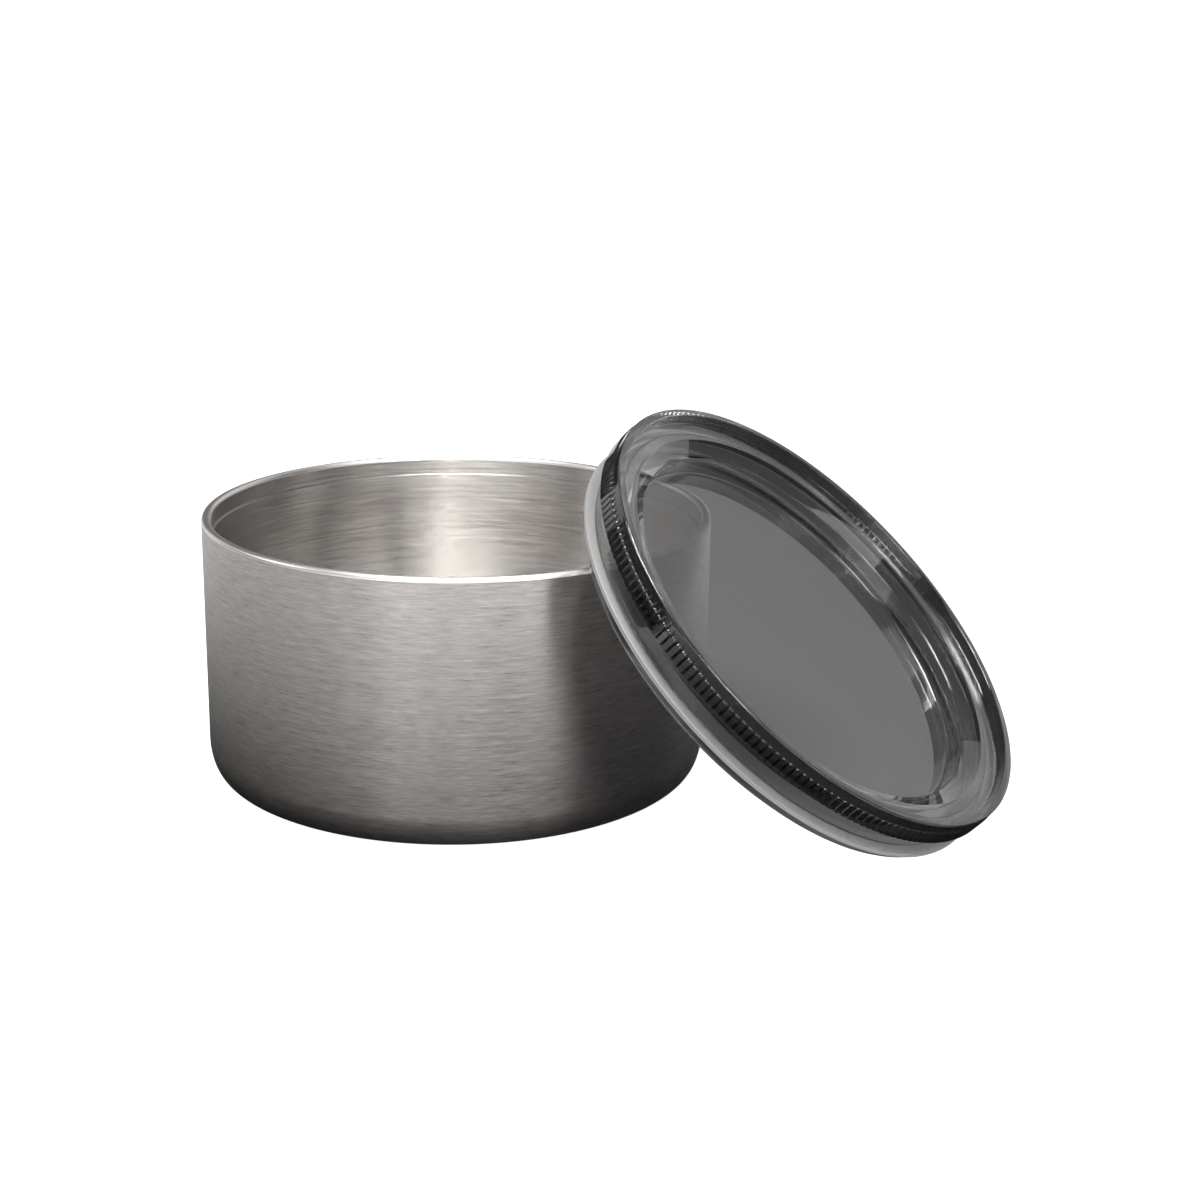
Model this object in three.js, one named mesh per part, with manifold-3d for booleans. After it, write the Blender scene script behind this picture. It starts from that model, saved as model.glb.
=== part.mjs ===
// Stainless steel food canister with a double wall, and its smoked lid leaning on the canister's side.
// Millimetres, +Z up. The origin is the middle of the base, on the table.
import * as THREE from "three";
import { mergeVertices } from "three/addons/utils/BufferGeometryUtils.js";
import Module from "manifold-3d";

const wasm = await Module();
wasm.setup();

// Canister body
const bodyRadius = 60;
const bodyHeight = 61.8;
const shellWall = 0.6;
const baseCornerRadius = 4;
const baseFlangeReach = 10; // flat turned in under the wall, from the corner to the bottom opening
const weldGap = 0.05; // left between welded sheets

// Inner liner
const lipWidth = 2.15; // rounded lip that closes the two walls
const collarDepth = 4.7; // from the top of the lip to the seat step
const seatStep = 0.45;
const linerWall = 0.5;
const linerFloorHeight = 4.2; // inner floor above the table
const linerCornerRadius = 7;

// Closed bottom of the vacuum space
const panWall = 0.6;
const panOverlap = 5; // laid over the shell's flange
const coverWall = 0.5;
const coverClearance = 0.3;
const exhaustHoleRadius = 1.5;
const sealClearance = 0.05;
const sealHeadRadius = 2.6;
const sealHeadHeight = 0.5;
const getterRadius = 5;
const getterHeight = 1.2;
const getterOffset = 24; // from the canister's axis
const getterChamfer = 0.3;

// Lid: depths are measured down from the top of its raised rim
const rimTopInset = 1.55; // how far the rim's wall lies inside the canister's wall
const rimHeight = 6;
const rimWall = 2.15;
const rimEdgeRadius = 0.4;
const ribCount = 200;
const ribStart = 2.2; // depth where the ribs begin
const ribSlope = 1.3; // height of their sloping tops
const ribStand = 0.2; // how far they stand out of the rim's wall
const notchDepth = 0.45; // notch between two ribs, from their faces
const notchShare = 0.34; // notch's share of the spacing
const ringDepth = 5.7; // flat ring inside the rim
const ringWall = 1.9;
const ringFillet = 0.6;
const panelDepth = 10.2;
const panelWall = 1.7;
const panelFillet = 0.8;
const shoulderWidth = 3.5; // wall round the panel's recess
const shoulderDrop = 0.6; // how far its top falls towards the panel
const channelWidth = 2.4; // gap under the ring, between that wall and the plug's skirt
const plugClearance = 0.4; // plug to liner
const plugDepth = 14.3; // foot of the plug's straight wall
const plugEdge = 0.8; // height of the round edge under it
const plugEdgeWidth = 0.7;
const plugNose = 1.1; // height of the lead-in under that edge
const plugNoseWidth = 1.7; // how far the lead-in runs inwards
const skirtWall = 3.6;
const neckInset = 1; // plug's neck above the gasket, inside its foot
const ledgeSlope = 1.3; // how far the lid's seat slopes out from the neck

// Gasket in the plug's groove
const grooveDrop = 5.35; // from the lid's seat to the groove
const grooveHeight = 1.75;
const grooveDepth = 2;
const gasketClearance = 0.3;
const gasketReach = 1.2; // soft flat lip beyond the plug's wall
const gasketLipHeight = 0.9;

// How the lid leans
const leanAngle = THREE.MathUtils.degToRad(42.47); // panel to table
const leanTurn = THREE.MathUtils.degToRad(-25.91); // direction of the lean about the canister's axis
const leanOffset = 6.2; // lid's middle to one side of that direction
const restGap = 0.2; // lid to table and lid to lip

const roundSegments = 72;
const smallSegments = 24;
const cornerSteps = 5;

// Sizes that follow from the ones above
const mouthRadius = bodyRadius - lipWidth;
const lipRadius = lipWidth / 2;
const lipBase = bodyHeight - lipRadius;
const linerRadius = mouthRadius - seatStep;
const seatHeight = bodyHeight - collarDepth;
const openingRadius = bodyRadius - baseCornerRadius - baseFlangeReach;
const panRadius = openingRadius + panOverlap;
const panBottom = shellWall + weldGap;
const panTop = panBottom + panWall;
const rimTopRadius = bodyRadius - rimTopInset;
const ribRadius = rimTopRadius + ribStand;
const notchRadius = ribRadius - notchDepth;
const rimCore = notchRadius - ribStand; // rim's wall behind the ribs
const rimInnerRadius = rimTopRadius - rimWall;
const plugRadius = linerRadius - plugClearance;
const edgeRadius = plugRadius - plugEdgeWidth;
const edgeDepth = plugDepth + plugEdge;
const neckRadius = plugRadius - neckInset;
const skirtInner = plugRadius - skirtWall;
const channelInner = skirtInner - channelWidth;
const panelRadius = channelInner - shoulderWidth;
const grooveTop = rimHeight + grooveDrop;
const grooveFoot = grooveTop + grooveHeight;
const panelUnder = panelDepth + panelWall;

const steel = { metalness: 1, roughness: 0.32 };
const materials = {
  shell: { color: 0x9b9894, ...steel },
  liner: { color: 0xb4b1ad, metalness: 1, roughness: 0.26 },
  bottom: { color: 0x8f8c88, ...steel },
  cover: { color: 0x94918d, ...steel },
  seal: { color: 0xc7bfa8, metalness: 0.6, roughness: 0.4 },
  getter: { color: 0x6f6d6b, metalness: 0.8, roughness: 0.55 },
  smoked: { color: 0x4a494b, metalness: 0, roughness: 0.08 },
  silicone: { color: 0xd6d6d4, metalness: 0, roughness: 0.45 },
};

function at(radius, height) {
  return new THREE.Vector2(radius, height);
}

// Points of a round corner about (radius, height), from one angle to another in quarter turns
function corner(radius, height, size, fromQuarter, toQuarter) {
  const points = [];
  for (let step = 0; step <= cornerSteps; step += 1) {
    const turn = fromQuarter + ((toQuarter - fromQuarter) * step) / cornerSteps;
    const angle = (turn * Math.PI) / 2;
    points.push(at(radius + size * Math.cos(angle), height + size * Math.sin(angle)));
  }
  return points;
}

// A solid of revolution about +Z from an outline given counter-clockwise (radius, height)
function revolve(outline, segments = roundSegments) {
  const geometry = new THREE.LatheGeometry(outline, segments);
  geometry.rotateX(Math.PI / 2);
  return geometry;
}

function closed(outline) {
  return [...outline, outline[0].clone()];
}

function toSolid(geometry) {
  const bare = geometry.clone();
  bare.deleteAttribute("normal");
  bare.deleteAttribute("uv");
  const merged = mergeVertices(bare, 1e-4);
  const mesh = new wasm.Mesh({
    numProp: 3,
    vertProperties: new Float32Array(merged.attributes.position.array),
    triVerts: new Uint32Array(merged.index.array),
  });
  return new wasm.Manifold(mesh);
}

function toGeometry(solid) {
  const mesh = solid.getMesh();
  const geometry = new THREE.BufferGeometry();
  geometry.setAttribute("position", new THREE.BufferAttribute(mesh.vertProperties, 3));
  geometry.setIndex(new THREE.BufferAttribute(mesh.triVerts, 1));
  geometry.computeVertexNormals();
  return geometry;
}

function piece(name, geometry, finish) {
  const mesh = new THREE.Mesh(geometry, new THREE.MeshStandardMaterial(finish));
  mesh.name = name;
  return mesh;
}

// Outer wall, its rounded foot and the flat flange round the bottom opening
function outerShell() {
  const innerRadius = bodyRadius - shellWall;
  const cornerCentre = bodyRadius - baseCornerRadius;
  const shellTop = lipBase - weldGap;
  return revolve(closed([
    at(openingRadius, 0),
    ...corner(cornerCentre, baseCornerRadius, baseCornerRadius, -1, 0),
    at(bodyRadius, shellTop),
    at(innerRadius, shellTop),
    ...corner(cornerCentre, baseCornerRadius, baseCornerRadius - shellWall, 0, -1),
    at(openingRadius, shellWall),
  ]));
}

// Drawn liner: floor, wall, the step that the lid's gasket snaps under and the rounded lip
function innerLiner() {
  const outside = linerRadius + linerWall;
  const collarOutside = mouthRadius + linerWall;
  const cornerCentre = linerRadius - linerCornerRadius;
  const cornerHeight = linerFloorHeight + linerCornerRadius;
  const floorUnder = linerFloorHeight - linerWall;
  return revolve([
    at(0, floorUnder),
    ...corner(cornerCentre, cornerHeight, linerCornerRadius + linerWall, -1, 0),
    at(outside, seatHeight - linerWall),
    at(collarOutside, seatHeight),
    at(collarOutside, lipBase),
    ...corner(bodyRadius - lipRadius, lipBase, lipRadius, 0, 2),
    at(mouthRadius, seatHeight),
    at(linerRadius, seatHeight - seatStep),
    ...corner(cornerCentre, cornerHeight, linerCornerRadius, 0, -1),
    at(0, linerFloorHeight),
  ]);
}

// Flat pan welded over the bottom opening, with the exhaust hole in its middle
function outerBottom() {
  return revolve(closed([
    at(exhaustHoleRadius, panBottom),
    at(panRadius, panBottom),
    at(panRadius, panTop),
    at(exhaustHoleRadius, panTop),
  ]));
}

// Bead that closes the exhaust hole
function vacuumSeal() {
  const shank = exhaustHoleRadius - sealClearance;
  const headFoot = panTop + weldGap;
  return revolve([
    at(0, panBottom),
    at(shank, panBottom),
    at(shank, headFoot),
    at(sealHeadRadius, headFoot),
    at(shank, headFoot + sealHeadHeight),
    at(0, headFoot + sealHeadHeight),
  ], smallSegments);
}

// Pill that keeps the vacuum, spot welded to the pan
function getterPill() {
  const foot = panTop + weldGap;
  const top = foot + getterHeight;
  const geometry = revolve([
    at(0, foot),
    at(getterRadius, foot),
    at(getterRadius, top - getterChamfer),
    at(getterRadius - getterChamfer, top),
    at(0, top),
  ], smallSegments);
  geometry.translate(getterOffset, 0, 0);
  return geometry;
}

// Disc that hides the pan and the seal, flush with the table
function baseCover() {
  const radius = openingRadius - coverClearance;
  return revolve([at(0, 0), at(radius, 0), at(radius, coverWall), at(0, coverWall)]);
}

// Section of the lid without its ribs; depths become heights below the rim's top
function lidBody() {
  const noseDepth = edgeDepth + plugNose;
  const ringUnder = ringDepth + ringWall;
  const ringOuter = rimInnerRadius - ringFillet;
  const panelOuter = panelRadius - panelFillet;
  return revolve([
    at(0, -panelUnder),
    at(channelInner, -panelUnder),
    at(channelInner, -ringUnder),
    at(skirtInner, -ringUnder),
    at(skirtInner, -noseDepth),
    at(edgeRadius - plugNoseWidth, -noseDepth),
    at(edgeRadius, -edgeDepth),
    at(plugRadius, -plugDepth),
    at(plugRadius, -grooveFoot),
    at(plugRadius - grooveDepth, -grooveFoot),
    at(plugRadius - grooveDepth, -grooveTop),
    at(neckRadius, -grooveTop),
    at(neckRadius, -ringUnder),
    at(neckRadius + ledgeSlope, -rimHeight),
    at(rimCore, -rimHeight),
    at(rimCore, -ribStart),
    at(rimTopRadius, -ribStart),
    at(rimTopRadius, -rimEdgeRadius),
    at(rimTopRadius - rimEdgeRadius, 0),
    at(rimInnerRadius + rimEdgeRadius, 0),
    at(rimInnerRadius, -rimEdgeRadius),
    ...corner(ringOuter, ringFillet - ringDepth, ringFillet, 0, -1),
    at(channelInner, -ringDepth),
    at(panelRadius, -ringDepth - shoulderDrop),
    ...corner(panelOuter, panelFillet - panelDepth, panelFillet, 0, -1),
    at(0, -panelDepth),
  ]);
}

// Band of upright ribs with notches between them; their tops slope back into the rim's wall
function ribBand() {
  const outline = new THREE.Shape();
  const section = [[0, notchRadius], [notchShare / 2, ribRadius], [1 - notchShare / 2, ribRadius]];
  for (let rib = 0; rib < ribCount; rib += 1) {
    for (const [share, radius] of section) {
      const angle = ((rib + share) / ribCount) * 2 * Math.PI;
      const move = rib + share === 0 ? "moveTo" : "lineTo";
      outline[move](radius * Math.cos(angle), radius * Math.sin(angle));
    }
  }
  const bore = new THREE.Path();
  bore.absarc(0, 0, rimCore - ribStand, 0, 2 * Math.PI, true);
  outline.holes.push(bore);
  const height = rimHeight - ribStart;
  const geometry = new THREE.ExtrudeGeometry(outline, {
    depth: height, steps: 2, bevelEnabled: false, curveSegments: roundSegments,
  });
  geometry.translate(0, 0, -rimHeight);

  // The middle row moves up to the foot of the slope, and the top row onto the rim's wall
  const position = geometry.attributes.position;
  const middle = -rimHeight + height / 2;
  for (let index = 0; index < position.count; index += 1) {
    const x = position.getX(index);
    const y = position.getY(index);
    const z = position.getZ(index);
    const radius = Math.hypot(x, y);
    if (Math.abs(z - middle) < height / 4) {
      position.setZ(index, -ribStart - ribSlope);
    } else if (z > middle && radius > rimCore) {
      position.setXY(index, (x * rimTopRadius) / radius, (y * rimTopRadius) / radius);
    }
  }
  return geometry;
}

function lidCap() {
  return toGeometry(toSolid(lidBody()).add(toSolid(ribBand())));
}

// Silicone ring with a flat soft lip, clear of the groove that it lies in
function lidGasket() {
  const inner = plugRadius - grooveDepth + gasketClearance;
  const top = -grooveTop - gasketClearance;
  const foot = -grooveFoot + gasketClearance;
  const crest = plugRadius + gasketReach;
  return revolve(closed([
    at(inner, foot),
    at(plugRadius, foot),
    at(crest, top - gasketLipHeight),
    at(crest, top),
    at(inner, top),
  ]));
}

// The lid stands on the round edge of its plug and its panel lies on the canister's lip
function leaningLid() {
  const across = Math.cos(leanAngle);
  const down = Math.sin(leanAngle);
  const height = restGap + edgeDepth * across + edgeRadius * down;
  const lipReach = (bodyRadius - lipRadius) * down + lipBase * across + lipRadius;
  const out = (lipReach + restGap + panelUnder - height * across) / down;
  const lid = new THREE.Group();
  lid.rotation.set(0, leanAngle, leanTurn, "ZYX");
  lid.position.set(
    out * Math.cos(leanTurn) - leanOffset * Math.sin(leanTurn),
    out * Math.sin(leanTurn) + leanOffset * Math.cos(leanTurn),
    height,
  );
  lid.add(piece("lid_cap", lidCap(), materials.smoked));
  lid.add(piece("lid_gasket", lidGasket(), materials.silicone));
  return lid;
}

const canister = new THREE.Group();
canister.add(piece("outer_shell", outerShell(), materials.shell));
canister.add(piece("inner_liner", innerLiner(), materials.liner));
canister.add(piece("outer_bottom", outerBottom(), materials.bottom));
canister.add(piece("vacuum_seal", vacuumSeal(), materials.seal));
canister.add(piece("getter", getterPill(), materials.getter));
canister.add(piece("base_cover", baseCover(), materials.cover));
canister.add(leaningLid());

export default canister;
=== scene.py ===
import bpy
import bmesh
import math
from mathutils import Matrix, Vector


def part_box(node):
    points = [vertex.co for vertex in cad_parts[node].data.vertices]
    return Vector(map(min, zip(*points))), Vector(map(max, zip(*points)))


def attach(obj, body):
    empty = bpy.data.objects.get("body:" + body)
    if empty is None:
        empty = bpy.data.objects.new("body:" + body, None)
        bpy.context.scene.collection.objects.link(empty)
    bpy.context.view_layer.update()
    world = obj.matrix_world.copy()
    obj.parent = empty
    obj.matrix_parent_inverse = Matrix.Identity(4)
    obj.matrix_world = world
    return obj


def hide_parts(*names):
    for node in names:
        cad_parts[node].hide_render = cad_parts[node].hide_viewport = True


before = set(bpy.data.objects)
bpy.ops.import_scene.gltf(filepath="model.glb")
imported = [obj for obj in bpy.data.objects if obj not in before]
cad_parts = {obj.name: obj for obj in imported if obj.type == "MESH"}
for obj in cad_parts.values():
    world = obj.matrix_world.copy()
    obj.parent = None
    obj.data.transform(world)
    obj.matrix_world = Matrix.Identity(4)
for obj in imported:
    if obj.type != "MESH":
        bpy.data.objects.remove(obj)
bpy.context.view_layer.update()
scene = bpy.context.scene
mm = 0.001


# the pieces' lengths are in mm and their angles in degrees
def arc(centre, size, fromDeg, toDeg, steps):
    points = []
    for i in range(steps + 1):
        a = math.radians(fromDeg + (toDeg - fromDeg) * i / steps)
        points.append((centre[0] + size * math.cos(a), centre[1] + size * math.sin(a)))
    return points


# a run of (radius, height, fillet) corners becomes points, with an arc at each filleted corner
def rounded(corners, steps=6):
    points = []
    for i, (r, z, fillet) in enumerate(corners):
        here = Vector((r, z))
        if fillet <= 0 or i in (0, len(corners) - 1):
            points.append((r, z))
            continue
        before = (Vector(corners[i - 1][:2]) - here).normalized()
        after = (Vector(corners[i + 1][:2]) - here).normalized()
        half = before.angle(after) / 2
        back = fillet / math.tan(half)
        centre = here + (before + after).normalized() * fillet / math.sin(half)
        start = here + before * back - centre
        end = here + after * back - centre
        a0 = math.atan2(start.y, start.x)
        sweep = (math.atan2(end.y, end.x) - a0 + math.pi) % (2 * math.pi) - math.pi
        for k in range(steps + 1):
            a = a0 + sweep * k / steps
            points.append((centre.x + fillet * math.cos(a), centre.y + fillet * math.sin(a)))
    return points


# turns rows of (radius, height, segments) about Z; rows on the axis become one point
def lathe(name, rows, closed, place=Matrix.Identity(4), sharp=32):
    bm = bmesh.new()
    rings = []
    for r, z, segments in rows:
        if r < 1e-6:
            rings.append([bm.verts.new((0, 0, z * mm))])
            continue
        ring = []
        for k in range(segments):
            a = 2 * math.pi * k / segments
            ring.append(bm.verts.new((r * math.cos(a) * mm, r * math.sin(a) * mm, z * mm)))
        rings.append(ring)
    pairs = list(zip(rings, rings[1:]))
    if closed:
        pairs.append((rings[-1], rings[0]))
    for low, high in pairs:
        count = min(len(low), len(high))
        if count == 1:
            count = max(len(low), len(high))
        for k in range(count):
            bottom = ringRun(low, k, count)
            top = ringRun(high, k, count)
            bm.faces.new(bottom + top[::-1])
    bmesh.ops.recalc_face_normals(bm, faces=bm.faces)
    mesh = bpy.data.meshes.new(name)
    bm.to_mesh(mesh)
    bm.free()
    mesh.transform(place)
    mesh.shade_smooth()
    mesh.set_sharp_from_angle(angle=math.radians(sharp))
    return mesh


# the points of a ring between its k-th and next of count equal stations
def ringRun(ring, k, count):
    if len(ring) == 1:
        return [ring[0]]
    step = len(ring) // count
    return [ring[(k * step + i) % len(ring)] for i in range(step + 1)]


def withSegments(points, segments):
    return [(r, z, segments) for r, z in points]


def addPiece(name, mesh, body, nodes):
    piece = bpy.data.objects.new(name, mesh)
    scene.collection.objects.link(piece)
    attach(piece, body)
    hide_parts(*nodes)


def newMaterial(name):
    material = bpy.data.materials.new(name)
    material.use_nodes = True
    tree = material.node_tree
    tree.nodes.clear()
    output = tree.nodes.new("ShaderNodeOutputMaterial")
    shader = tree.nodes.new("ShaderNodeBsdfPrincipled")
    tree.links.new(shader.outputs["BSDF"], output.inputs["Surface"])
    return material, tree, shader


def mathNode(tree, operation, *values):
    node = tree.nodes.new("ShaderNodeMath")
    node.operation = operation
    for socket, value in zip(node.inputs, values):
        if isinstance(value, (int, float)):
            socket.default_value = value
        else:
            tree.links.new(value, socket)
    return node.outputs[0]


def noiseNode(tree, vector, scale, detail, rough):
    node = tree.nodes.new("ShaderNodeTexNoise")
    node.inputs["Scale"].default_value = scale
    node.inputs["Detail"].default_value = detail
    node.inputs["Roughness"].default_value = rough
    tree.links.new(vector, node.inputs["Vector"])
    return node.outputs["Fac"]


def mapRange(tree, value, low, high, toLow, toHigh):
    node = tree.nodes.new("ShaderNodeMapRange")
    ends = {"From Min": low, "From Max": high, "To Min": toLow, "To Max": toHigh}
    for key, number in ends.items():
        node.inputs[key].default_value = number
    tree.links.new(value, node.inputs["Value"])
    return node.outputs["Result"]


def toneMix(tree, factor, dark, light):
    node = tree.nodes.new("ShaderNodeMix")
    node.data_type = "RGBA"
    node.inputs[6].default_value = (*dark, 1)
    node.inputs[7].default_value = (*light, 1)
    tree.links.new(factor, node.inputs[0])
    return node.outputs[2]


def objectPlace(tree):
    return tree.nodes.new("ShaderNodeTexCoord").outputs["Object"]


def splitUp(tree, vector):
    node = tree.nodes.new("ShaderNodeSeparateXYZ")
    tree.links.new(vector, node.inputs[0])
    return node.outputs


# coordinates that run round the axis: long along the brushing, fine across it
def brushVector(tree, alongMm, acrossMm):
    x, y, z = splitUp(tree, objectPlace(tree))
    square = mathNode(tree, "ADD", mathNode(tree, "MULTIPLY", x, x), mathNode(tree, "MULTIPLY", y, y))
    reach = mathNode(tree, "SQRT", square)
    along = 1 / (alongMm * mm)
    across = 1 / (acrossMm * mm)
    join = tree.nodes.new("ShaderNodeCombineXYZ")
    slow = mathNode(tree, "MULTIPLY", x, along)
    tree.links.new(mathNode(tree, "MULTIPLY_ADD", reach, across, slow), join.inputs[0])
    tree.links.new(mathNode(tree, "MULTIPLY", y, along), join.inputs[1])
    tree.links.new(mathNode(tree, "MULTIPLY", z, across), join.inputs[2])
    return join.outputs[0]


# how fine and broad strokes mix on every brushed metal
brushing = {
    "fineDetail": 3.0,
    "fineRough": 0.65,
    "fineShare": 0.75,
    "broadLength": 4,         # times the fine strokes' length
    "broadWidth": 2,
    "broadDetail": 2.0,
    "broadRough": 0.5,
    "broadShare": 0.25,
    "low": 0.3,               # range of the mixed noise that is used
    "high": 0.7,
    "bumpHeight": 0.02,
    "turn": 0.25,             # highlights stretch across the brushing
}
steelLooks = {
    "shellSteel": {"colour": (0.605, 0.575, 0.555), "rough": 0.29, "roughSwing": 0.02, "stretch": 0.75,
                   "bump": 0.003, "toneSwing": 0.26, "strokeLength": 4.0, "strokeWidth": 0.3},
    "linerSteel": {"colour": (0.71, 0.69, 0.672), "rough": 0.225, "roughSwing": 0.015, "stretch": 0.75,
                   "bump": 0.003, "toneSwing": 0.24, "strokeLength": 12.0, "strokeWidth": 0.35},
    "lipSteel": {"colour": (0.8, 0.783, 0.766), "rough": 0.36, "roughSwing": 0.03, "stretch": 0.2,
                 "bump": 0.01, "toneSwing": 0.02, "strokeLength": 16.0, "strokeWidth": 0.2},
    # the seat step's look: a darker, rougher copy of the liner's steel, painted shade in its groove that
    # also dims its highlight
    "seatShadeSteel": {"colour": (0.29, 0.281, 0.274), "rough": 0.36, "roughSwing": 0.02, "stretch": 0.5,
                  "bump": 0.003, "toneSwing": 0.05, "strokeLength": 12.0, "strokeWidth": 0.35},
    "coverSteel": {"colour": (0.58, 0.565, 0.55), "rough": 0.38, "roughSwing": 0.05, "stretch": 0.7,
                   "bump": 0.25, "toneSwing": 0.05, "strokeLength": 12.0, "strokeWidth": 0.3},
    "panSteel": {"colour": (0.55, 0.54, 0.53), "rough": 0.42, "roughSwing": 0.05, "stretch": 0.2,
                 "bump": 0.15, "toneSwing": 0.04, "strokeLength": 6.0, "strokeWidth": 0.6},
    "beadMetal": {"colour": (0.72, 0.64, 0.46), "rough": 0.35, "roughSwing": 0.06, "stretch": 0.0,
                  "bump": 0.3, "toneSwing": 0.08, "strokeLength": 0.8, "strokeWidth": 0.8},
    "pillMetal": {"colour": (0.34, 0.335, 0.33), "rough": 0.6, "roughSwing": 0.08, "stretch": 0.0,
                  "bump": 0.4, "toneSwing": 0.1, "strokeLength": 0.5, "strokeWidth": 0.5},
}


def brushedSteel(name, look):
    material, tree, shader = newMaterial(name)
    b = brushing
    fineVector = brushVector(tree, look["strokeLength"], look["strokeWidth"])
    broadVector = brushVector(tree, look["strokeLength"] * b["broadLength"],
                              look["strokeWidth"] * b["broadWidth"])
    fine = noiseNode(tree, fineVector, 1.0, b["fineDetail"], b["fineRough"])
    broad = noiseNode(tree, broadVector, 1.0, b["broadDetail"], b["broadRough"])
    finePart = mathNode(tree, "MULTIPLY", fine, b["fineShare"])
    both = mathNode(tree, "MULTIPLY_ADD", broad, b["broadShare"], finePart)
    dark = [c * (1 - look["toneSwing"]) for c in look["colour"]]
    light = [c * (1 + look["toneSwing"]) for c in look["colour"]]
    tone = toneMix(tree, mapRange(tree, both, b["low"], b["high"], 0, 1), dark, light)
    tree.links.new(tone, shader.inputs["Base Color"])
    leastRough = look["rough"] - look["roughSwing"]
    mostRough = look["rough"] + look["roughSwing"]
    rough = mapRange(tree, both, b["low"], b["high"], leastRough, mostRough)
    tree.links.new(rough, shader.inputs["Roughness"])
    bump = tree.nodes.new("ShaderNodeBump")
    bump.inputs["Strength"].default_value = look["bump"]
    bump.inputs["Distance"].default_value = b["bumpHeight"] * mm
    tree.links.new(fine, bump.inputs["Height"])
    tree.links.new(bump.outputs["Normal"], shader.inputs["Normal"])
    tangent = tree.nodes.new("ShaderNodeTangent")
    tangent.direction_type = "RADIAL"
    tangent.axis = "Z"
    tree.links.new(tangent.outputs[0], shader.inputs["Tangent"])
    shader.inputs["Metallic"].default_value = 1.0
    shader.inputs["Anisotropic"].default_value = look["stretch"]
    shader.inputs["Anisotropic Rotation"].default_value = b["turn"]
    return material


smokedLook = {
    "tint": (0.47, 0.467, 0.47),
    # the satin ring has a rougher coat, and a tint lighter than the rest that is painted light
    # brightening the ring
    "satinLitTint": (0.85, 0.847, 0.85),
    # the rib wall's tint, near black, is painted shade on the ribbed rim, which the lid shows dark
    "ribShadeTint": (0.014, 0.014, 0.0145),
    "rough": 0.02,
    "satin": 0.2,             # roughness of the satin ring
    "ior": 1.2,               # lower than plastic's, so that thick parts stay clear
    "coatIor": 1.5,
    "hazeScale": 90.0,
    "hazeDetail": 4.0,
    "hazeRough": 0.6,
    "hazeLow": 0.35,
    "hazeHigh": 0.7,
    "leastRough": 0.5,        # of the finish
    "mostRough": 1.4,
}


def smokedPlastic(name, tint, finish):
    material, tree, shader = newMaterial(name)
    s = smokedLook
    shader.inputs["Base Color"].default_value = (*tint, 1)
    shader.inputs["Transmission Weight"].default_value = 1.0
    shader.inputs["IOR"].default_value = s["ior"]
    shader.inputs["Coat Weight"].default_value = 1.0
    shader.inputs["Coat Roughness"].default_value = finish
    shader.inputs["Coat IOR"].default_value = s["coatIor"]
    haze = noiseNode(tree, objectPlace(tree), s["hazeScale"], s["hazeDetail"], s["hazeRough"])
    rough = mapRange(tree, haze, s["hazeLow"], s["hazeHigh"],
                     finish * s["leastRough"], finish * s["mostRough"])
    tree.links.new(rough, shader.inputs["Roughness"])
    return material


siliconeLook = {
    "colour": (0.21, 0.208, 0.206),
    "darkShare": 0.93,
    "lightShare": 1.05,
    "leastRough": 0.27,
    "mostRough": 0.4,
    "ior": 1.41,
    "grainScale": 700.0,
    "grainDetail": 3.0,
    "grainRough": 0.6,
    "grainLow": 0.3,
    "grainHigh": 0.7,
}


def paleSilicone():
    material, tree, shader = newMaterial("paleSilicone")
    s = siliconeLook
    grain = noiseNode(tree, objectPlace(tree), s["grainScale"], s["grainDetail"], s["grainRough"])
    dark = [c * s["darkShare"] for c in s["colour"]]
    light = [c * s["lightShare"] for c in s["colour"]]
    tree.links.new(toneMix(tree, grain, dark, light), shader.inputs["Base Color"])
    shader.inputs["IOR"].default_value = s["ior"]
    rough = mapRange(tree, grain, s["grainLow"], s["grainHigh"], s["leastRough"], s["mostRough"])
    tree.links.new(rough, shader.inputs["Roughness"])
    return material


steel = {name: brushedSteel(name, look) for name, look in steelLooks.items()}
smoked = smokedPlastic("smokedPlastic", smokedLook["tint"], smokedLook["rough"])
ribShadedSmoked = smokedPlastic("ribShadedSmokedPlastic", smokedLook["ribShadeTint"], smokedLook["rough"])
satinAndLitSmoked = smokedPlastic("satinAndLitSmokedPlastic", smokedLook["satinLitTint"], smokedLook["satin"])
silicone = paleSilicone()
print("materials made")

# what the canister's pieces share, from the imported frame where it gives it
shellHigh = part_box("outer_shell")[1]
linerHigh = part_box("inner_liner")[1]
canister = {
    "radius": shellHigh.x / mm,
    "height": linerHigh.z / mm,
    "lipWidth": 2.15,
    "weldGap": 0.05,
    "segments": 288,
}

shell = {
    "wall": 0.6,
    "footRadius": 3.3,        # round corner at the foot of the wall, drawn out upwards
    "footRise": 7.5,
    "footSteps": 32,
    "hiddenSteps": 16,        # of that corner's inner side
    "flange": 10.7,           # flat turned in under the wall
}


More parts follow.
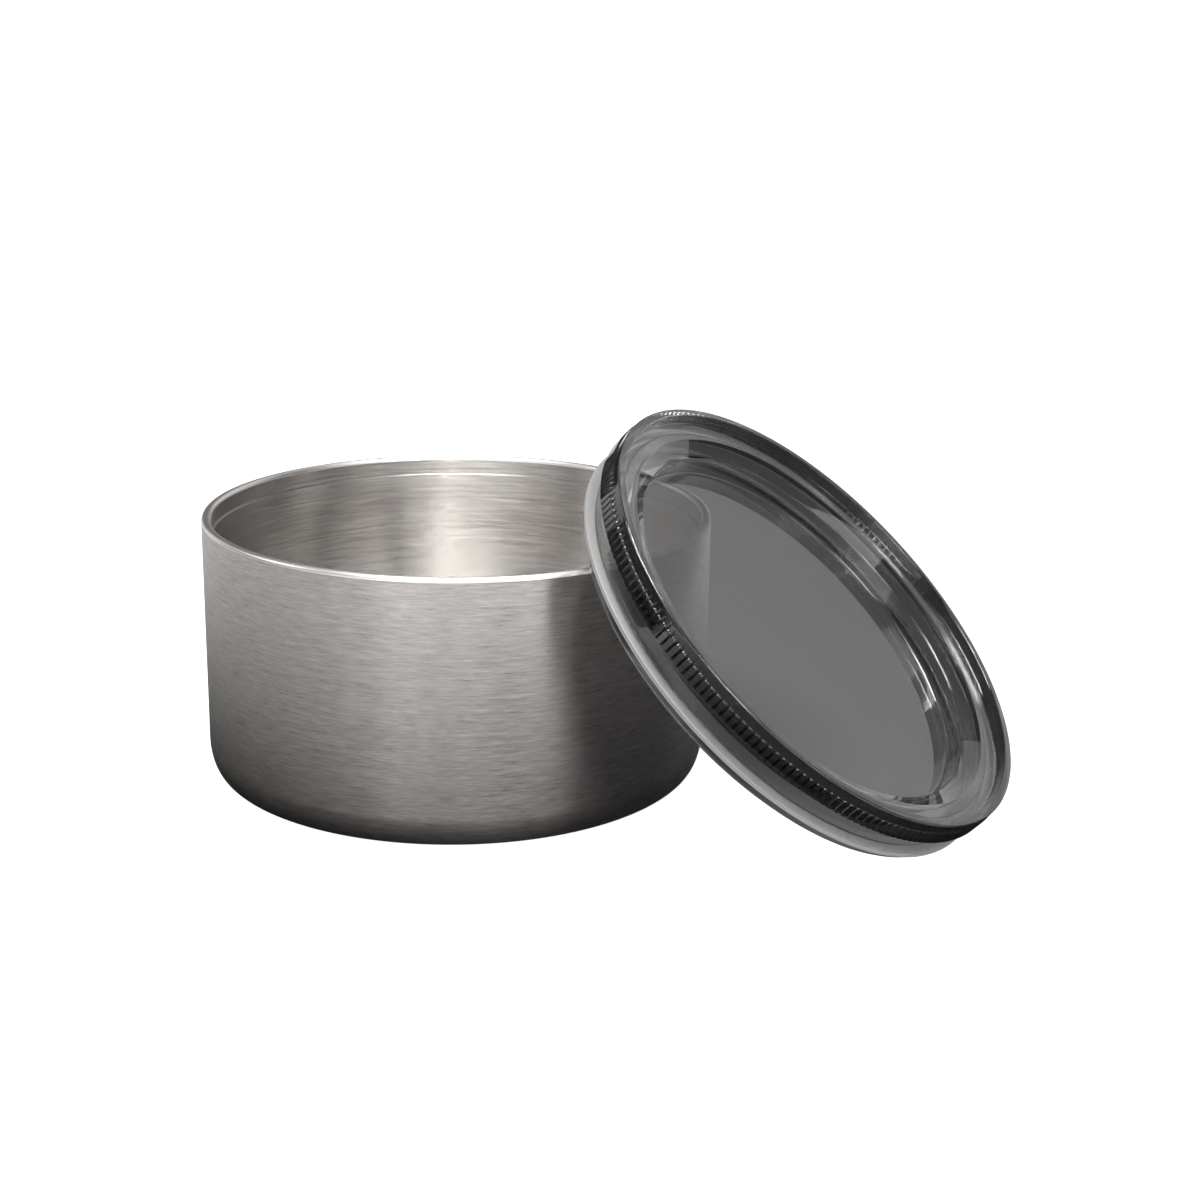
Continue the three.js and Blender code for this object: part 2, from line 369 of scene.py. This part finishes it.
def outerShell():
    c = canister
    s = shell
    inner = c["radius"] - s["wall"]
    opening = c["radius"] - s["footRadius"] - s["flange"]
    corner = (c["radius"] - s["footRadius"], 0)
    top = c["height"] - c["lipWidth"] / 2 - c["weldGap"]
    rise = s["footRise"] / s["footRadius"]
    turned = arc(corner, s["footRadius"], -90, 0, s["footSteps"])
    hidden = s["footRadius"] - s["wall"]
    hiddenRise = (s["footRise"] - s["wall"]) / hidden
    within = arc(corner, hidden, 0, -90, s["hiddenSteps"])
    outline = [(opening, 0.0)]
    outline += [(r, s["footRise"] + z * rise) for r, z in turned]
    outline += [(c["radius"], top), (inner, top)]
    outline += [(r, s["footRise"] + z * hiddenRise) for r, z in within]
    outline += [(opening, s["wall"])]
    mesh = lathe("outerShell", withSegments(outline, c["segments"]), closed=True)
    mesh.materials.append(steel["shellSteel"])
    addPiece("outerShell", mesh, "canister", ["outer_shell"])


liner = {
    "wall": 0.5,
    "collarDepth": 4.7,       # lip to seat step
    "seatStep": 0.45,
    "stepRun": 0.15,          # height of the sloping step
    "seatFillet": 0.03,
    "floorHeight": 4.2,
    "floorCorner": 7.0,
    "lipSteps": 32,
    "floorSteps": 24,
    "hiddenSteps": 16,        # of the floor corner's underside
}


def innerLiner():
    c = canister
    n = liner
    lip = c["lipWidth"] / 2
    mouth = c["radius"] - c["lipWidth"]
    wall = mouth - n["seatStep"]
    seat = c["height"] - n["collarDepth"]
    lipBase = c["height"] - lip
    corner = (wall - n["floorCorner"], n["floorHeight"] + n["floorCorner"])
    outside = wall + n["wall"]
    collarOutside = mouth + n["wall"]
    outline = [(0.0, n["floorHeight"] - n["wall"])]
    outline += arc(corner, n["floorCorner"] + n["wall"], -90, 0, n["hiddenSteps"])
    outline += [(outside, seat - n["stepRun"]), (collarOutside, seat), (collarOutside, lipBase)]
    outline += arc((c["radius"] - lip, lipBase), lip, 0, 180, n["lipSteps"])
    outline += rounded([
        (mouth, lipBase, 0),
        (mouth, seat, n["seatFillet"]),
        (wall, seat - n["stepRun"], n["seatFillet"]),
        (wall, corner[1], 0),
    ])[1:-1]
    outline += arc(corner, n["floorCorner"], 0, -90, n["floorSteps"])
    outline += [(0.0, n["floorHeight"])]
    mesh = lathe("innerLiner", withSegments(outline, c["segments"]), closed=False)
    mesh.materials.append(steel["linerSteel"])
    mesh.materials.append(steel["lipSteel"])
    mesh.materials.append(steel["seatShadeSteel"])
    for face in mesh.polygons:
        if face.center.z > lipBase * mm:
            face.material_index = 1
        # the seat step's faces take the darker steel: painted shade in the groove
        elif abs(face.center.z / mm - seat + n["stepRun"] / 2) < n["stepRun"] / 2 + n["seatFillet"]:
            face.material_index = 2
    addPiece("innerLiner", mesh, "canister", ["inner_liner"])


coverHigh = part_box("base_cover")[1]
cover = {
    "radius": coverHigh.x / mm,
    "thick": coverHigh.z / mm,
    "edge": 0.15,
    "edgeSteps": 4,
}


def baseCover():
    v = cover
    outline = rounded([
        (0, 0, 0),
        (v["radius"], 0, v["edge"]),
        (v["radius"], v["thick"], v["edge"]),
        (0, v["thick"], 0),
    ], v["edgeSteps"])
    mesh = lathe("baseCover", withSegments(outline, canister["segments"]), closed=False)
    mesh.materials.append(steel["coverSteel"])
    addPiece("baseCover", mesh, "canister", ["base_cover"])


# radii and depths below the rim's top, in the lid's own frame
lid = {
    "lean": 42.47,
    "turn": -25.91,
    "offset": 6.2,
    "restGap": 0.2,
    "rimTop": 58.45,          # radius of the rim's plain wall
    "rimInner": 56.3,
    "rimHeight": 6.0,
    "rimRound": 0.4,
    "rimSteps": 6,
    "rimFlat": 0.2,           # of the rim's top, beside its outer round
    "ringDepth": 2.7,         # flat ring inside the rim
    "ringUnder": 4.6,
    "ringStart": 51.8,        # inner edge of the ring's underside
    "ringFillet": 0.5,
    "shoulderRadius": 51.4,   # inner edge of the ring, where the shoulder slopes down
    "shoulderDepth": 5.2,     # foot of that slope, at the panel's wall
    "shoulderUnder": 6.2,
    "shoulderFillet": 0.6,
    "slopeFillet": 0.4,
    "panelRadius": 47.5,
    "panelDepth": 10.2,
    "panelUnder": 11.9,
    "panelFillet": 0.8,
    "underFillet": 0.6,       # at the edge of the panel's underside
    "channelInner": 49.3,     # hollow under the ring
    "channelFillet": 0.5,
    "skirtInner": 54.2,
    "skirtFillet": 0.2,
    "neckRadius": 56.0,
    "neckTop": 7.0,
    "neckFillet": 0.4,
    "ledgeRadius": 57.3,
    "ledgeFillet": 0.2,
    "ledgeFlat": 0.6,         # from the rim's wall in
    "plugRadius": 57.0,
    "plugDepth": 14.3,
    "edgeRadius": 56.3,       # round edge that the lid stands on
    "edgeDepth": 15.1,
    "edgeFillet": 0.4,
    "noseRadius": 54.6,
    "noseDepth": 16.2,
    "noseFillet": 0.5,
    "grooveTop": 11.35,
    "grooveFoot": 13.1,
    "grooveRadius": 55.0,
    "grooveFillet": 0.15,
    "grooveEdge": 0.12,       # fillet at the groove's outer edges
    "satinInner": 51.3,       # radii of the satin ring
    "satinOuter": 55.9,
    "shadeInset": 0.35,        # how far in from the rim's wall its painted shade reaches
    "coarse": 400,            # segments round the plain parts
    "fine": 2400,             # segments round the ribbed wall
    "sharp": 40,
    "wallDepths": [1.2, 1.5, 1.8, 2.1, 2.3, 2.4, 2.47, 2.54, 2.62, 2.7, 2.85,
                   3.2, 3.8, 4.6, 5.4, 5.8, 6.0],
}

ribs = {
    "Rib Count": 200,
    "Rib Start": 2.4,         # depth where the ribs begin
    "Rib Slope": 0.3,         # height of their round tops
    "Rib Stand": 0.3,
    "Rib Arch": 0.5,          # how much lower their corners begin
    "Notch Start": 1.2,
    "Notch Run": 1.8,         # height over which a notch deepens
    "Notch Depth": 0.45,
    "Notch Share": 0.32,      # of the ribs' spacing
}


# the lid's place: standing on the edge of its plug, its panel on the canister's lip
def lidPlace():
    lean = math.radians(lid["lean"])
    turn = math.radians(lid["turn"])
    across = math.cos(lean)
    down = math.sin(lean)
    lip = canister["lipWidth"] / 2
    height = lid["restGap"] + lid["edgeDepth"] * across + lid["edgeRadius"] * down
    reach = (canister["radius"] - lip) * down + (canister["height"] - lip) * across + lip
    out = (reach + lid["restGap"] + lid["panelUnder"] - height * across) / down
    spot = Vector((out * math.cos(turn) - lid["offset"] * math.sin(turn),
                   out * math.sin(turn) + lid["offset"] * math.cos(turn), height)) * mm
    return Matrix.Translation(spot) @ Matrix.Rotation(turn, 4, "Z") @ Matrix.Rotation(lean, 4, "Y")


# how far a value has come from a start over a run, held between 0 and 1
def clampedShare(tree, value, start, run):
    share = mathNode(tree, "DIVIDE", mathNode(tree, "SUBTRACT", value, start), run)
    return mathNode(tree, "MINIMUM", mathNode(tree, "MAXIMUM", share, 0.0), 1.0)


# upright ribs: each point of the marked wall moves by the rib's section and by how far down it lies
def ribTree(material):
    tree = bpy.data.node_groups.new("lidRibs", "GeometryNodeTree")
    face = tree.interface
    face.new_socket("Geometry", in_out="INPUT", socket_type="NodeSocketGeometry")
    for name in ribs:
        kind = "NodeSocketInt" if name == "Rib Count" else "NodeSocketFloat"
        face.new_socket(name, in_out="INPUT", socket_type=kind)
    face.new_socket("Geometry", in_out="OUTPUT", socket_type="NodeSocketGeometry")
    entry = tree.nodes.new("NodeGroupInput")
    sizes = {name: entry.outputs[name] for name in ribs}
    x, y, z = splitUp(tree, tree.nodes.new("GeometryNodeInputPosition").outputs[0])
    depth = mathNode(tree, "MULTIPLY", z, -1 / mm)
    turn = mathNode(tree, "ARCTAN2", y, x)
    count = mathNode(tree, "MULTIPLY", sizes["Rib Count"], 1 / (2 * math.pi))
    phase = mathNode(tree, "FRACT", mathNode(tree, "MULTIPLY_ADD", turn, count, 0.5))
    # 0 at a rib's middle, 1 at the bottom of the notch beside it
    side = mathNode(tree, "ABSOLUTE", mathNode(tree, "MULTIPLY_ADD", phase, 2.0, -1.0))
    flat = mathNode(tree, "SUBTRACT", 1.0, sizes["Notch Share"])
    notch = clampedShare(tree, side, flat, sizes["Notch Share"])
    sinking = clampedShare(tree, depth, sizes["Notch Start"], sizes["Notch Run"])
    sideSquare = mathNode(tree, "MULTIPLY", side, side)
    archStart = mathNode(tree, "MULTIPLY_ADD", sideSquare, sizes["Rib Arch"], sizes["Rib Start"])
    left = mathNode(tree, "SUBTRACT", 1.0, clampedShare(tree, depth, archStart, sizes["Rib Slope"]))
    leftSquare = mathNode(tree, "MULTIPLY", left, left)
    rise = mathNode(tree, "SQRT", mathNode(tree, "SUBTRACT", 1.0, leftSquare))
    plain = mathNode(tree, "MULTIPLY", mathNode(tree, "MULTIPLY", sizes["Rib Stand"], rise),
                     mathNode(tree, "SUBTRACT", 1.0, notch))
    bottom = mathNode(tree, "SUBTRACT", sizes["Rib Stand"], sizes["Notch Depth"])
    sunk = mathNode(tree, "MULTIPLY", mathNode(tree, "MULTIPLY", bottom, sinking), notch)
    out = mathNode(tree, "MULTIPLY", mathNode(tree, "ADD", plain, sunk), mm)
    away = tree.nodes.new("ShaderNodeCombineXYZ")
    tree.links.new(mathNode(tree, "MULTIPLY", mathNode(tree, "COSINE", turn), out), away.inputs[0])
    tree.links.new(mathNode(tree, "MULTIPLY", mathNode(tree, "SINE", turn), out), away.inputs[1])
    marked = tree.nodes.new("GeometryNodeInputNamedAttribute")
    marked.data_type = "BOOLEAN"
    marked.inputs["Name"].default_value = "ribbed"
    move = tree.nodes.new("GeometryNodeSetPosition")
    tree.links.new(entry.outputs["Geometry"], move.inputs["Geometry"])
    tree.links.new(marked.outputs["Attribute"], move.inputs["Selection"])
    tree.links.new(away.outputs[0], move.inputs["Offset"])
    solid = tree.nodes.new("GeometryNodeRealizeInstances")
    tree.links.new(move.outputs[0], solid.inputs[0])
    dress = tree.nodes.new("GeometryNodeSetMaterial")
    dress.inputs["Material"].default_value = material
    tree.links.new(solid.outputs[0], dress.inputs["Geometry"])
    leave = tree.nodes.new("NodeGroupOutput")
    tree.links.new(dress.outputs[0], leave.inputs[0])
    return tree


# the plain mesh that a tree makes of a mesh
def grown(mesh, tree, sizes, name):
    holder = bpy.data.objects.new(name, mesh)
    scene.collection.objects.link(holder)
    modifier = holder.modifiers.new(name, "NODES")
    modifier.node_group = tree
    for item in tree.interface.items_tree:
        if item.in_out == "INPUT" and item.name in sizes:
            modifier[item.identifier] = sizes[item.name]
    bpy.context.view_layer.update()
    depsgraph = bpy.context.evaluated_depsgraph_get()
    result = bpy.data.meshes.new_from_object(holder.evaluated_get(depsgraph))
    holder.modifiers.remove(modifier)
    bpy.data.objects.remove(holder)
    return result


def lidCap():
    d = lid
    under = rounded([
        (0, -d["panelUnder"], 0),
        (d["channelInner"], -d["panelUnder"], d["underFillet"]),
        (d["channelInner"], -d["shoulderUnder"], d["channelFillet"]),
        (d["ringStart"], -d["ringUnder"], d["channelFillet"]),
        (d["skirtInner"], -d["ringUnder"], d["channelFillet"]),
        (d["skirtInner"], -d["noseDepth"], d["skirtFillet"]),
        (d["noseRadius"], -d["noseDepth"], d["noseFillet"]),
        (d["edgeRadius"], -d["edgeDepth"], d["edgeFillet"]),
        (d["plugRadius"], -d["plugDepth"], d["edgeFillet"]),
        (d["plugRadius"], -d["grooveFoot"], d["grooveEdge"]),
        (d["grooveRadius"], -d["grooveFoot"], d["grooveFillet"]),
        (d["grooveRadius"], -d["grooveTop"], d["grooveFillet"]),
        (d["neckRadius"], -d["grooveTop"], d["grooveEdge"]),
        (d["neckRadius"], -d["neckTop"], d["neckFillet"]),
        (d["ledgeRadius"], -d["rimHeight"], d["ledgeFillet"]),
        (d["rimTop"] - d["ledgeFlat"], -d["rimHeight"], 0),
    ])
    wall = [(d["rimTop"], -depth) for depth in reversed(d["wallDepths"])]
    rimCentre = (d["rimTop"] - d["rimRound"], -d["rimRound"])
    rimTopArc = arc(rimCentre, d["rimRound"], 0, 90, d["rimSteps"])
    inside = rounded([
        (d["rimTop"] - d["rimRound"] - d["rimFlat"], 0, 0),
        (d["rimInner"], 0, d["rimRound"]),
        (d["rimInner"], -d["ringDepth"], d["ringFillet"]),
        (d["shoulderRadius"], -d["ringDepth"], d["shoulderFillet"]),
        (d["panelRadius"], -d["shoulderDepth"], d["slopeFillet"]),
        (d["panelRadius"], -d["panelDepth"], d["panelFillet"]),
        (0, -d["panelDepth"], 0),
    ])
    rows = withSegments(under, d["coarse"])
    rows += withSegments(wall, d["fine"])
    rows += withSegments(rimTopArc + inside, d["coarse"])
    mesh = lathe("lidBlank", rows, closed=False)
    mark = mesh.attributes.new("ribbed", "BOOLEAN", "POINT")
    nearWall = (d["rimTop"] - 0.01) * mm
    mark.data.foreach_set("value", [math.hypot(v.co.x, v.co.y) > nearWall for v in mesh.vertices])
    mesh = grown(mesh, ribTree(smoked), ribs, "lidRibs")
    mesh.attributes.remove(mesh.attributes["ribbed"])
    mesh.materials.append(ribShadedSmoked)
    mesh.materials.append(satinAndLitSmoked)
    for face in mesh.polygons:
        reach = math.hypot(face.center.x, face.center.y) / mm
        # the ribbed rim wall takes the near-black plastic: painted shade
        if reach > d["rimTop"] - d["shadeInset"] and face.center.z < -d["rimRound"] * mm:
            face.material_index = 1
        # the satin ring takes the lighter, rougher plastic: painted light that brightens it
        elif d["satinInner"] < reach < d["satinOuter"]:
            face.material_index = 2
    mesh.transform(lidPlace())
    mesh.shade_smooth()
    mesh.set_sharp_from_angle(angle=math.radians(d["sharp"]))
    addPiece("lidCap", mesh, "lid", ["lid_cap"])


gasket = {
    "inner": 55.3,
    "root": 57.0,
    "crest": 58.2,
    "lowCrest": 58.0,
    "cleft": 57.5,            # radius between its two lips
    "top": 11.65,
    "foot": 12.8,
    "lip": 0.5,               # height of each lip
    "lowRise": 0.05,          # of the lower lip's underside
    "fillet": 0.15,
    "rootFillet": 0.2,
    "cleftFillet": 0.04,
    "steps": 5,
    "sharp": 60,
    "segments": 288,
}


def lidGasket():
    g = gasket
    middle = -(g["top"] + g["foot"]) / 2
    outline = rounded([
        (g["inner"], middle, 0),
        (g["inner"], -g["foot"], g["fillet"]),
        (g["root"], -g["foot"], g["rootFillet"]),
        (g["lowCrest"], -g["foot"] + g["lowRise"], g["fillet"]),
        (g["lowCrest"], -g["foot"] + g["lip"], g["fillet"]),
        (g["cleft"], middle, g["cleftFillet"]),
        (g["crest"], -g["top"] - g["lip"], g["fillet"]),
        (g["crest"], -g["top"], g["fillet"]),
        (g["inner"], -g["top"], g["fillet"]),
        (g["inner"], middle, 0),
    ], g["steps"])[:-1]
    rows = withSegments(outline, g["segments"])
    mesh = lathe("lidGasket", rows, closed=True, place=lidPlace(), sharp=g["sharp"])
    mesh.materials.append(silicone)
    addPiece("lidGasket", mesh, "lid", ["lid_gasket"])


outerShell()
innerLiner()
baseCover()
print("canister made")
lidCap()
lidGasket()
print("lid made")

hiddenLooks = {"outer_bottom": "panSteel", "vacuum_seal": "beadMetal", "getter": "pillMetal"}
for nodeName, lookName in hiddenLooks.items():
    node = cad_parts[nodeName]
    node.data.materials.clear()
    node.data.materials.append(steel[lookName])

# stage, in metres
stageLook = {
    "floorSize": 30.0,
    "floorHeight": -0.0004,
    "floorTone": 0.35,
    "floorGlow": 1.0,
    "floorRough": 0.9,
    "tableHeight": -0.0006,
    "tableTone": 0.004,
    "tableGlow": 1.08,
    "tableReach": 0.28,       # over which the painted contact shadow at the canister's foot fades
    "tableThrough": 0.155,    # brightest that rays through the lid see
    # painted shadow of the lid on the table, for what mirrors it: its middle, size and fade
    "lidShadowSpot": (0.1, -0.03),
    "lidShadowReach": 0.05,
    "lidShadowFade": 0.05,
    "backGlow": 0.65,
    "backTone": 0.0,
    "backPlace": 1.1,
    "backLeft": 0.2,
    "backRight": 2.4,
    "backTop": 1.5,
}


def quadMesh(name, corners):
    mesh = bpy.data.meshes.new(name)
    mesh.from_pydata(corners, [], [(0, 1, 2, 3)])
    return mesh


def flatFloor(name, height, size):
    half = size / 2
    mesh = quadMesh(name, [(-half, -half, height), (half, -half, height),
                           (half, half, height), (-half, half, height)])
    floor = bpy.data.objects.new(name, mesh)
    scene.collection.objects.link(floor)
    return floor


def paleShader(name, tone):
    material, tree, shader = newMaterial(name)
    shader.inputs["Base Color"].default_value = (tone, tone, tone, 1)
    shader.inputs["Roughness"].default_value = stageLook["floorRough"]
    shader.inputs["Emission Color"].default_value = (1, 1, 1, 1)
    return material, tree, shader


def floorMaterial(name, tone, glow):
    material, tree, shader = paleShader(name, tone)
    shader.inputs["Emission Strength"].default_value = glow
    return material


# the table as the steel mirrors it and the lid shows it glows in place of a lit table, with painted
# shadows:
# dark at the canister's foot, and under the lid for what mirrors it
def tableMaterial():
    material, tree, shader = paleShader("tableShade", stageLook["tableTone"])
    x, y = splitUp(tree, objectPlace(tree))[:2]
    spotX, spotY = stageLook["lidShadowSpot"]
    shadows = [(0.0, 0.0, canister["radius"] * mm, stageLook["tableReach"]),
               (spotX, spotY, stageLook["lidShadowReach"], stageLook["lidShadowFade"])]
    glows = [stageLook["tableGlow"]]
    # each painted shadow darkens the glow towards its middle
    for atX, atY, size, fade in shadows:
        across = mathNode(tree, "SUBTRACT", x, atX)
        along = mathNode(tree, "SUBTRACT", y, atY)
        alongSquare = mathNode(tree, "MULTIPLY", along, along)
        square = mathNode(tree, "MULTIPLY_ADD", across, across, alongSquare)
        beyond = mathNode(tree, "SUBTRACT", mathNode(tree, "SQRT", square), size)
        gap = mathNode(tree, "MAXIMUM", beyond, 0.0)
        dark = mathNode(tree, "EXPONENT", mathNode(tree, "MULTIPLY", gap, -1 / fade))
        glows.append(mathNode(tree, "MULTIPLY", mathNode(tree, "SUBTRACT", 1.0, dark), glows[-1]))
    seen = tree.nodes.new("ShaderNodeMix")
    path = tree.nodes.new("ShaderNodeLightPath")
    tree.links.new(path.outputs["Is Transmission Ray"], seen.inputs["Factor"])
    tree.links.new(glows[2], seen.inputs["A"])
    through = mathNode(tree, "MINIMUM", glows[1], stageLook["tableThrough"])
    tree.links.new(through, seen.inputs["B"])
    tree.links.new(seen.outputs["Result"], shader.inputs["Emission Strength"])
    return material


paleFloor = flatFloor("paleFloor", stageLook["floorHeight"], stageLook["floorSize"])
floorWhite = floorMaterial("floorWhite", stageLook["floorTone"], stageLook["floorGlow"])
paleFloor.data.materials.append(floorWhite)
paleFloor.visible_glossy = False
paleFloor.visible_transmission = False
glossTable = flatFloor("glossTable", stageLook["tableHeight"], stageLook["floorSize"])
glossTable.data.materials.append(tableMaterial())
glossTable.visible_camera = False
glossTable.visible_diffuse = False
glossTable.visible_shadow = False

left = stageLook["backLeft"]
right = stageLook["backRight"]
top = stageLook["backTop"]
depth = stageLook["backPlace"]
backdropMesh = quadMesh("backdrop", [(left, depth, 0), (right, depth, 0),
                                     (right, depth, top), (left, depth, top)])
backdrop = bpy.data.objects.new("backdrop", backdropMesh)
scene.collection.objects.link(backdrop)
backWhite = floorMaterial("backWhite", stageLook["backTone"], stageLook["backGlow"])
backdrop.data.materials.append(backWhite)
backdrop.visible_camera = False
backdrop.visible_transmission = False
backdrop.visible_diffuse = False

# soft boxes on a dome about the canister: degrees round from the front (to the right), degrees up, watts
lightLook = {"distance": 1.4, "size": (0.5, 0.62), "aim": (0.03, 0, 0.03)}
lights = {
    "overhead": (0, 85, 36.0),
    "frontHigh": (20, 35, 13.6),
    "frontTop": (-30, 60, 5.5),
    "frontLow": (0, 9, 1.7),
    "frontLeft": (-20, 9, 2.7),
    "leftLow": (-40, 9, 1.2),
    "leftEdge": (-60, 9, 0.6),
    "rightLow": (40, 9, 2.1),
    "leftHigh": (-90, 35, 2.8),
    "rightHigh": (60, 35, 1.7),
    "leftBack": (-127, 14, 0.8),
}


def addLight(name, aroundDeg, upDeg, watts):
    lamp = bpy.data.lights.new(name, "AREA")
    lamp.shape = "RECTANGLE"
    lamp.size, lamp.size_y = lightLook["size"]
    lamp.energy = watts
    holder = bpy.data.objects.new(name, lamp)
    scene.collection.objects.link(holder)
    around = math.radians(aroundDeg)
    up = math.radians(upDeg)
    away = Vector((math.sin(around) * math.cos(up), -math.cos(around) * math.cos(up), math.sin(up)))
    holder.location = Vector(lightLook["aim"]) + away * lightLook["distance"]
    holder.rotation_euler = (-away).to_track_quat("-Z", "Y").to_euler()
    holder.visible_camera = False


for lightName, (aroundDeg, upDeg, watts) in lights.items():
    addLight(lightName, aroundDeg, upDeg, watts)

# levels for the camera, for everything and for rays through the lid
worldLook = {"seen": 1.0, "ambient": 0.03, "through": 0.14}
world = bpy.data.worlds.new("studio")
scene.world = world
world.use_nodes = True
worldTree = world.node_tree
worldTree.nodes.clear()
worldOut = worldTree.nodes.new("ShaderNodeOutputWorld")
path = worldTree.nodes.new("ShaderNodeLightPath")
sky = worldTree.nodes.new("ShaderNodeBackground")
sky.inputs["Color"].default_value = (1, 1, 1, 1)
cameraRay = path.outputs["Is Camera Ray"]
lidRay = path.outputs["Is Transmission Ray"]
direct = mathNode(worldTree, "MULTIPLY_ADD", cameraRay, worldLook["seen"], worldLook["ambient"])
level = mathNode(worldTree, "MULTIPLY_ADD", lidRay, worldLook["through"], direct)
worldTree.links.new(level, sky.inputs["Strength"])
worldTree.links.new(sky.outputs[0], worldOut.inputs["Surface"])
print("stage and lights made")

view = {
    "place": (0.03446, -0.45388, 0.17590),
    "pitchDown": 16.701,
    "roll": 1.050,
    "lens": 58.788,
    "sensor": 36.0,
    "near": 0.01,
    "far": 100.0,
}
lens = bpy.data.cameras.new("view")
lens.sensor_width = view["sensor"]
lens.sensor_fit = "HORIZONTAL"
lens.lens = view["lens"]
lens.clip_start = view["near"]
lens.clip_end = view["far"]
camera = bpy.data.objects.new("view", lens)
scene.collection.objects.link(camera)
tilt = Matrix.Rotation(math.radians(90 - view["pitchDown"]), 4, "X")
roll = Matrix.Rotation(math.radians(view["roll"]), 4, "Z")
camera.matrix_world = Matrix.Translation(view["place"]) @ tilt @ roll
scene.camera = camera
scene.view_settings.view_transform = "Standard"
print("camera made")
